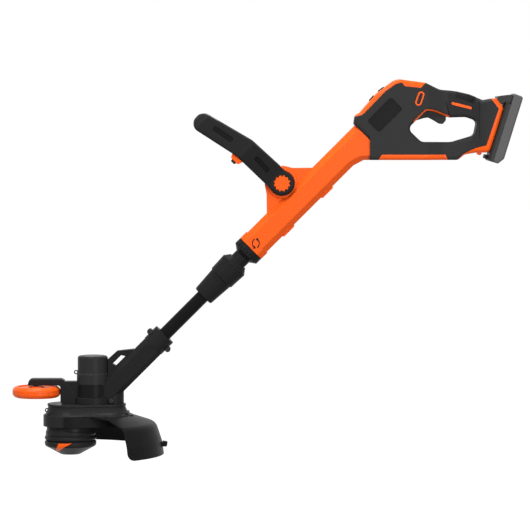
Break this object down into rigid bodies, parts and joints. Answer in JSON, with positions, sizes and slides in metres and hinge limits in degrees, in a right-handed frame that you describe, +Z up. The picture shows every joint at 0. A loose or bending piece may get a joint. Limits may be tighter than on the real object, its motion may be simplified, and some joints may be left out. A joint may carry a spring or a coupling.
{
  "type": "string trimmer",
  "caption": "Cordless string trimmer with a tilted telescopic shaft, adjustable front handle, sprung trigger, slide battery, geared spool head, guard and edging wheel.",
  "frame": {"origin": "centre of the flat under the spool cap, on the spool axis", "axes": "+Z up along the spool axis, +X from the head back towards the rear handle and battery, +Y to the user's right seen from the rear handle looking at the head"},
  "size_m": [0.8236, 0.2621, 0.6071],
  "materials": {
    "orange_plastic": "satin moulded orange",
    "black_plastic": "fine-grained moulded black",
    "grip_rubber": "soft-touch black over-moulding",
    "battery_dark": "moulded dark grey",
    "battery_grey": "moulded mid grey",
    "tube_black": "black coated drawn tube",
    "steel": "plain steel",
    "gear_nylon": "natural nylon",
    "line_nylon": "drawn nylon line",
    "board_green": "lacquered board"
  },
  "bodies": {
    "housing": {"body_left": "orange_plastic", "body_right": "orange_plastic", "handle_left": "black_plastic", "handle_right": "black_plastic", "top_cap": "orange_plastic", "bottom_strip": "orange_plastic", "battery_frame": "orange_plastic", "trigger_trim": "orange_plastic", "grip_inlays": "orange_plastic", "lock_off_bezels": "orange_plastic", "trigger_pin": "steel", "trigger_spring": "steel", "switch_module": "black_plastic", "control_board": "board_green", "housing_screws": "steel", "battery_dock": "black_plastic"},
    "trigger": {"trigger": "black_plastic"},
    "lock_off": {"lock_off_bar": "black_plastic"},
    "feed_button": {"feed_button": "black_plastic"},
    "speed_button": {"speed_button": "black_plastic"},
    "front_handle": {"aux_handle": "grip_rubber"},
    "angle_button_left": {"angle_button_left": "orange_plastic"},
    "angle_button_right": {"angle_button_right": "orange_plastic"},
    "release_key": {"release_key": "orange_plastic", "release_pad": "black_plastic"},
    "battery": {"battery_cover": "battery_dark", "battery_case": "battery_grey", "battery_cells": "steel"},
    "battery_latch": {"battery_latch": "black_plastic"},
    "swivel": {"neck_sleeve": "black_plastic", "clamp_collet": "black_plastic"},
    "edging_collar": {"edging_collar": "black_plastic"},
    "height_nut": {"height_nut": "black_plastic"},
    "shaft": {"shaft_tube": "tube_black", "head_left": "black_plastic", "head_right": "black_plastic", "head_clamp": "black_plastic", "head_screws": "steel", "motor_cover": "black_plastic", "motor": "steel", "gear_case_upper": "black_plastic", "gear_case_lower": "black_plastic", "spindle_bearings": "steel", "wheel_arm": "black_plastic", "wheel_axle": "steel", "guard": "black_plastic", "line_cutter": "steel"},
    "edge_wheel": {"edge_wheel": "orange_plastic"},
    "spool": {"spindle": "steel", "spindle_gear": "gear_nylon", "spool_housing": "black_plastic", "spool_drum": "black_plastic", "line_winding": "line_nylon", "line_eyelets": "steel"},
    "rotor": {"motor_pinion": "steel"},
    "spool_cap": {"spool_cap": "black_plastic"},
    "cap_tab_front": {"cap_tab_front": "orange_plastic"},
    "cap_tab_back": {"cap_tab_back": "orange_plastic"}
  },
  "joints": [
    {"name": "trigger_pull", "type": "hinge", "parent": "housing", "child": "trigger", "pos_m": [0.567, 0, 0.557], "axis": [0, -1, 0], "range_deg": [0, 9], "stiffness_Nm_per_rad": 0.8, "springref_deg": -5.73, "deforming": ["trigger_spring"]},
    {"name": "lock_off_push", "type": "slide", "parent": "housing", "child": "lock_off", "axis": [0, 1, 0], "range_m": [-0.003, 0.003], "stiffness_N_per_m": 800},
    {"name": "feed_press", "type": "slide", "parent": "housing", "child": "feed_button", "axis": [0.5958, 0, -0.8031], "range_m": [0, 0.0015], "stiffness_N_per_m": 1200, "springref_m": -0.001},
    {"name": "speed_press", "type": "slide", "parent": "housing", "child": "speed_button", "axis": [0.7543, 0, -0.6565], "range_m": [0, 0.0015], "stiffness_N_per_m": 1200, "springref_m": -0.001},
    {"name": "front_handle_tilt", "type": "hinge", "parent": "housing", "child": "front_handle", "pos_m": [0.3433, 0, 0.44016], "axis": [0, -1, 0], "range_deg": [-30, 60]},
    {"name": "angle_left_press", "type": "slide", "parent": "front_handle", "child": "angle_button_left", "axis": [0, 1, 0], "range_m": [0, 0.005], "stiffness_N_per_m": 500, "springref_m": -0.003},
    {"name": "angle_right_press", "type": "slide", "parent": "front_handle", "child": "angle_button_right", "axis": [0, -1, 0], "range_m": [0, 0.005], "stiffness_N_per_m": 500, "springref_m": -0.003},
    {"name": "release_press", "type": "slide", "parent": "front_handle", "child": "release_key", "axis": [0.7071, 0, 0.7071], "range_m": [0, 0.004], "stiffness_N_per_m": 500, "springref_m": -0.003},
    {"name": "battery_slide", "type": "slide", "parent": "housing", "child": "battery", "axis": [-0.294, 0, -0.9558], "range_m": [0, 0.125]},
    {"name": "latch_press", "type": "slide", "parent": "battery", "child": "battery_latch", "axis": [0.9558, 0, -0.294], "range_m": [0, 0.002], "stiffness_N_per_m": 1500, "springref_m": -0.001},
    {"name": "head_turn", "type": "hinge", "parent": "housing", "child": "swivel", "pos_m": [0.25456, 0, 0.29556], "axis": [0.7071, 0, 0.7071], "range_deg": [0, 180]},
    {"name": "collar_pull", "type": "slide", "parent": "swivel", "child": "edging_collar", "axis": [0.7071, 0, 0.7071], "range_m": [0, 0.01], "stiffness_N_per_m": 400, "springref_m": -0.004},
    {"name": "nut_twist", "type": "hinge", "parent": "swivel", "child": "height_nut", "pos_m": [0.25456, 0, 0.29556], "axis": [0.7071, 0, 0.7071], "range_deg": [0, 90]},
    {"name": "shaft_slide", "type": "slide", "parent": "swivel", "child": "shaft", "axis": [-0.7071, 0, -0.7071], "range_m": [-0.06, 0.13]},
    {"name": "wheel_spin", "type": "hinge", "parent": "shaft", "child": "edge_wheel", "pos_m": [-0.055, 0, 0.102], "axis": [0, 0, 1], "continuous": true},
    {"name": "spool_spin", "type": "hinge", "parent": "shaft", "child": "spool", "pos_m": [0, 0, 0.057], "axis": [0, 0, 1], "continuous": true},
    {"name": "rotor_spin", "type": "hinge", "parent": "shaft", "child": "rotor", "pos_m": [0.0365, 0, 0.057], "axis": [0, 0, 1], "continuous": true},
    {"name": "cap_pull", "type": "slide", "parent": "spool", "child": "spool_cap", "axis": [0, 0, -1], "range_m": [0, 0.03]},
    {"name": "tab_front_press", "type": "slide", "parent": "spool_cap", "child": "cap_tab_front", "axis": [0, 1, 0], "range_m": [0, 0.002], "stiffness_N_per_m": 800, "springref_m": -0.001},
    {"name": "tab_back_press", "type": "slide", "parent": "spool_cap", "child": "cap_tab_back", "axis": [0, -1, 0], "range_m": [0, 0.002], "stiffness_N_per_m": 800, "springref_m": -0.001}
  ],
  "couplings": [
    {"joint": "rotor_spin", "follows": "spool_spin", "ratio": -4.6154}
  ]
}
